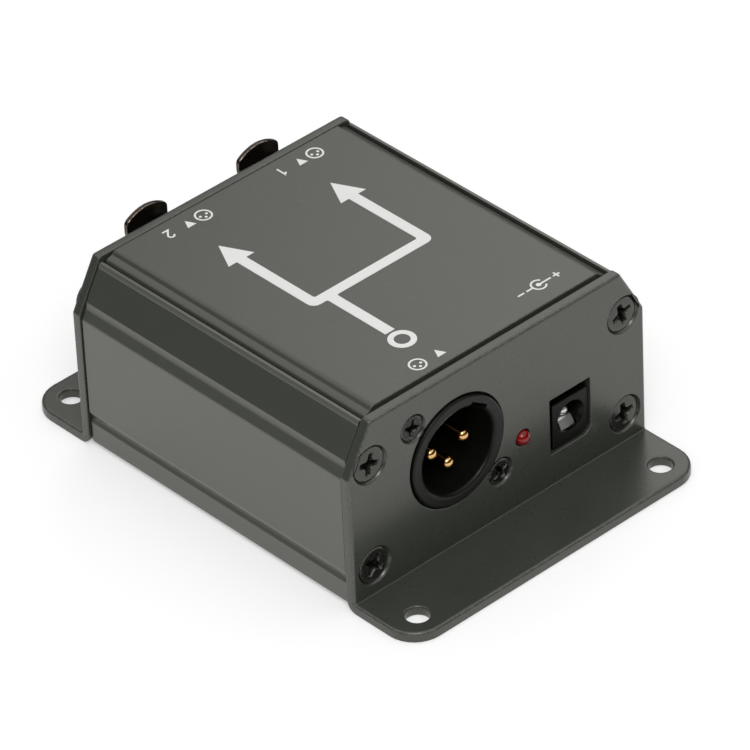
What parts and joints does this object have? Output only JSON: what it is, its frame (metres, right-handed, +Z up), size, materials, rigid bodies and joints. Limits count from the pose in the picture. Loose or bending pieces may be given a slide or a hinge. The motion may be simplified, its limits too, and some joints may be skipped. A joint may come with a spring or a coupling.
{
  "type": "dmx splitter",
  "caption": "Flanged grey metal case that splits one lighting control line into separate outputs, with a locking round input, latched outputs, power jack and status lamp.",
  "frame": {"origin": "middle of the footprint, at the underside of the mounting flanges", "axes": "+Z up, -Y out of the face with the input and power jack, +Y out of the face with the outputs, +X to the right seen from the input side"},
  "size_m": [0.07, 0.1, 0.0385],
  "materials": {
    "case_paint": "satin",
    "lid_paint": "satin",
    "plate_screws": "gloss",
    "connector_screws": "gloss",
    "black_plastic": "satin",
    "socket_plastic": "matt",
    "gold_contacts": "polished",
    "latch_steel": "black chrome",
    "bright_steel": "polished",
    "lamp_lens": "gloss",
    "board": "satin",
    "component_black": "matt",
    "capacitor_sleeve": "gloss",
    "resistor_body": "satin"
  },
  "bodies": {
    "case": {"body_shell": "case_paint", "capacitor_1": "capacitor_sleeve", "capacitor_2": "capacitor_sleeve", "circuit_board": "board", "front_plate": "case_paint", "front_plate_screw_1": "plate_screws", "front_plate_screw_2": "plate_screws", "front_plate_screw_3": "plate_screws", "front_plate_screw_4": "plate_screws", "input_insert": "socket_plastic", "input_pin_1": "gold_contacts", "input_pin_2": "gold_contacts", "input_pin_3": "gold_contacts", "input_receiver_chip": "component_black", "input_screw_1": "connector_screws", "input_screw_2": "connector_screws", "input_shell": "black_plastic", "isolating_coupler": "component_black", "line_driver_chip_1": "component_black", "line_driver_chip_2": "component_black", "output_1_contact_1": "gold_contacts", "output_1_contact_2": "gold_contacts", "output_1_contact_3": "gold_contacts", "output_1_insert": "socket_plastic", "output_1_latch_pin": "bright_steel", "output_1_latch_spring": "bright_steel", "output_1_screw_1": "connector_screws", "output_1_screw_2": "connector_screws", "output_1_shell": "black_plastic", "output_2_contact_1": "gold_contacts", "output_2_contact_2": "gold_contacts", "output_2_contact_3": "gold_contacts", "output_2_insert": "socket_plastic", "output_2_latch_pin": "bright_steel", "output_2_latch_spring": "bright_steel", "output_2_screw_1": "connector_screws", "output_2_screw_2": "connector_screws", "output_2_shell": "black_plastic", "power_jack_contact": "bright_steel", "power_jack_housing": "black_plastic", "power_jack_pin": "bright_steel", "protection_diode": "component_black", "rear_plate": "case_paint", "rear_plate_screw_1": "plate_screws", "rear_plate_screw_2": "plate_screws", "rear_plate_screw_3": "plate_screws", "rear_plate_screw_4": "plate_screws", "resistor_1": "resistor_body", "resistor_2": "resistor_body", "resistor_3": "resistor_body", "status_lamp": "lamp_lens", "status_lamp_lead_1": "bright_steel", "status_lamp_lead_2": "bright_steel", "top_lid": "lid_paint", "voltage_regulator": "component_black"},
    "latch_1": {"output_1_latch": "latch_steel"},
    "latch_2": {"output_2_latch": "latch_steel"}
  },
  "joints": [
    {"name": "latch_1_press", "type": "hinge", "parent": "case", "child": "latch_1", "pos_m": [0.01325, 0.0314, 0.0337], "axis": [-1, 0, 0], "range_deg": [0, 10], "stiffness_Nm_per_rad": 0.05, "springref_deg": -17.19, "deforming": ["output_1_latch_spring"]},
    {"name": "latch_2_press", "type": "hinge", "parent": "case", "child": "latch_2", "pos_m": [-0.01325, 0.0314, 0.0337], "axis": [-1, 0, 0], "range_deg": [0, 10], "stiffness_Nm_per_rad": 0.05, "springref_deg": -17.19, "deforming": ["output_2_latch_spring"]}
  ]
}
